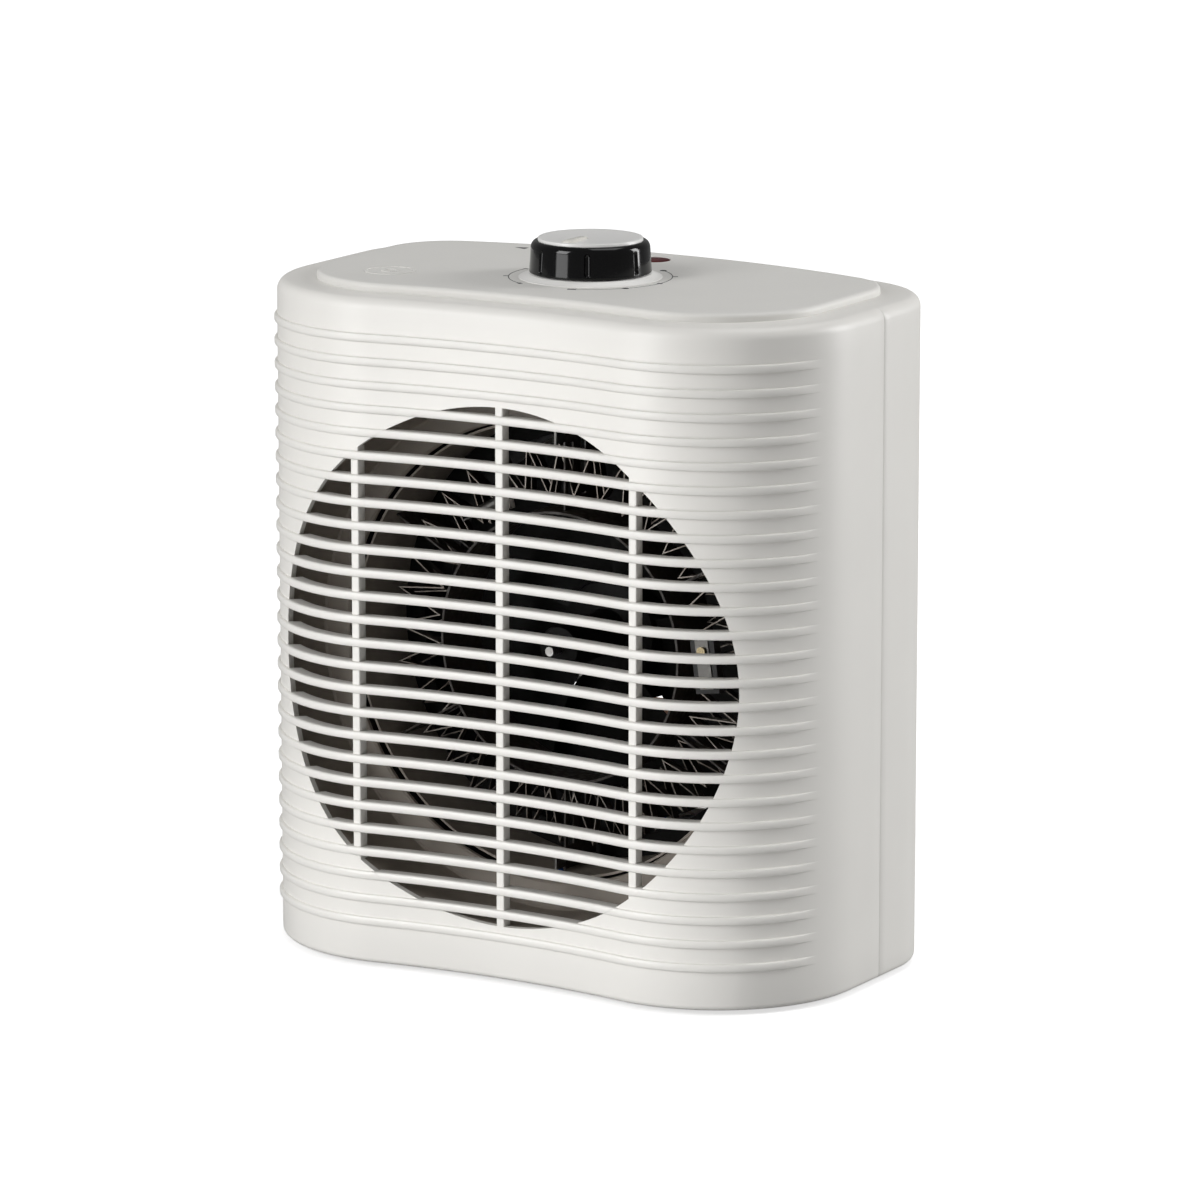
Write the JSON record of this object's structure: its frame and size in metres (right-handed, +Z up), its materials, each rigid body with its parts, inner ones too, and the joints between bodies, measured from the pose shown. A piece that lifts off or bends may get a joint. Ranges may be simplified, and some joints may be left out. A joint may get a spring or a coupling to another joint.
{
  "type": "fan heater",
  "caption": "Free-standing fan heater with a ribbed hollow-fronted case, round louvred outlet, ribbon element, axial fan and a top rotary knob.",
  "frame": {"origin": "centre of the bounding box on the surface that the feet stand on", "axes": "+Z up, +X to the right seen from the front, +Y from the front grille to the back"},
  "size_m": [0.2166, 0.1376, 0.2467],
  "materials": {
    "case_white": "satin",
    "panel_white": "satin",
    "grille_white": "satin",
    "knob_black": "gloss",
    "cap_ivory": "satin",
    "lens_red": "gloss",
    "lamp_glass": "clear",
    "foot_rubber": "matt",
    "duct_grey": "matt",
    "switch_black": "matt",
    "board_mica": "matt",
    "ribbon_alloy": "satin",
    "sheet_steel": "satin",
    "screw_steel": "satin",
    "terminal_brass": "satin",
    "stack_steel": "matt",
    "coil_copper": "satin",
    "bobbin_nylon": "matt",
    "fan_grey": "matt",
    "wire_brown": "matt",
    "wire_blue": "matt",
    "block_nylon": "matt"
  },
  "bodies": {
    "case": {"front_shell": "case_white", "rear_shell": "case_white", "front_grille": "grille_white", "rear_grille": "grille_white", "top_panel": "panel_white", "knob_collar": "case_white", "pilot_lens": "lens_red", "pilot_lamp": "lamp_glass", "selector_switch": "switch_black", "switch_base": "switch_black", "switch_terminals": "terminal_brass", "switch_screws": "screw_steel", "rubber_feet": "foot_rubber", "case_screws": "screw_steel", "cord_gland": "switch_black", "terminal_block": "block_nylon", "block_screws": "screw_steel", "outlet_duct": "duct_grey", "fan_housing": "duct_grey", "element_shroud": "sheet_steel", "mica_core": "board_mica", "mica_blade_1": "board_mica", "mica_blade_2": "board_mica", "mica_blade_3": "board_mica", "mica_blade_4": "board_mica", "mica_blade_5": "board_mica", "mica_blade_6": "board_mica", "front_ribbon": "ribbon_alloy", "rear_ribbon": "ribbon_alloy", "cutout_base": "block_nylon", "bimetal_strip": "sheet_steel", "cutout_rivets": "terminal_brass", "thermal_fuse": "sheet_steel", "element_lugs": "terminal_brass", "motor_stator": "stack_steel", "coil_bobbin": "bobbin_nylon", "motor_coil": "coil_copper", "shading_rings": "coil_copper", "front_bridge": "sheet_steel", "rear_bridge": "sheet_steel", "front_bush": "terminal_brass", "rear_bush": "terminal_brass", "motor_screws": "screw_steel", "supply_wire": "wire_brown", "neutral_wire": "wire_blue", "element_wire": "wire_brown", "motor_wire": "wire_blue"},
    "knob": {"knob_skirt": "knob_black", "knob_cap": "cap_ivory", "switch_spindle": "bobbin_nylon", "switch_cam": "bobbin_nylon"},
    "fan": {"fan_rotor": "fan_grey", "motor_shaft": "screw_steel", "motor_rotor": "stack_steel"}
  },
  "joints": [
    {"name": "knob_turn", "type": "hinge", "parent": "case", "child": "knob", "pos_m": [0, -0.0042, 0.235], "axis": [0, 0, -1], "range_deg": [0, 270]},
    {"name": "fan_spin", "type": "hinge", "parent": "case", "child": "fan", "pos_m": [0, 0, 0.1083], "axis": [0, 1, 0], "continuous": true}
  ]
}
